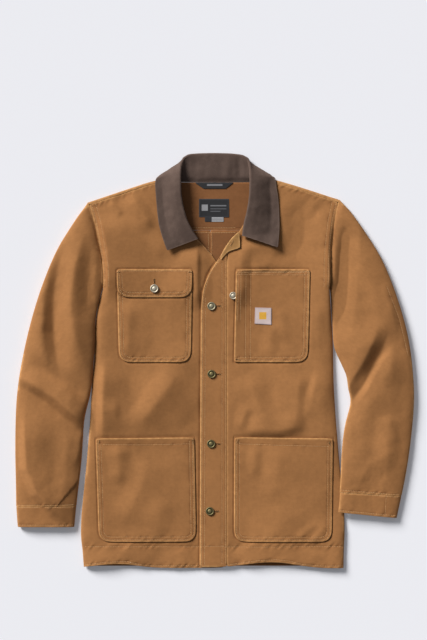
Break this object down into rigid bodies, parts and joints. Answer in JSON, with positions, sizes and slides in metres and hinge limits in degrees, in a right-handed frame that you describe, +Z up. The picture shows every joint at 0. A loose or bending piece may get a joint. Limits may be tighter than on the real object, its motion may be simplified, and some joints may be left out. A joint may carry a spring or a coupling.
{
  "type": "chore jacket",
  "caption": "Buttoned work jacket in brown duck canvas with a corduroy collar, patch pockets and long sleeves, laid flat on its back.",
  "frame": {"origin": "centre of the outline in plan, on the surface the jacket lies on", "axes": "+Z up from the surface, +Y from the hem to the collar, +X towards the wearer's left side"},
  "size_m": [0.8186, 0.8512, 0.0253],
  "materials": {
    "duck_canvas": "matt cotton duck canvas, washed",
    "facing_canvas": "matt canvas, the paler inner side",
    "corduroy": "cotton corduroy with fine wales",
    "label_cloth": "woven polyester label, bare",
    "patch_cloth": "woven cloth patch, bare",
    "button_metal": "antique plated, worn"
  },
  "bodies": {
    "root": {"back_yoke": "duck_canvas", "back_right": "duck_canvas", "back_left": "duck_canvas", "front_right": "duck_canvas", "front_left": "duck_canvas", "placket": "duck_canvas", "sleeve_right_top": "duck_canvas", "sleeve_right_under": "duck_canvas", "sleeve_left_top": "duck_canvas", "sleeve_left_under": "duck_canvas", "cuff_right": "duck_canvas", "cuff_left": "duck_canvas", "chest_pocket_right": "duck_canvas", "chest_flap": "duck_canvas", "chest_pocket_left": "duck_canvas", "lower_pocket_right": "duck_canvas", "lower_pocket_left": "duck_canvas", "facing_corner": "facing_canvas", "collar": "corduroy", "hang_tape": "label_cloth", "neck_label": "label_cloth", "size_tab": "label_cloth", "patch": "patch_cloth", "button_1": "button_metal", "button_2": "button_metal", "button_3": "button_metal", "button_4": "button_metal", "flap_button": "button_metal", "pocket_button": "button_metal"}
  },
  "joints": []
}
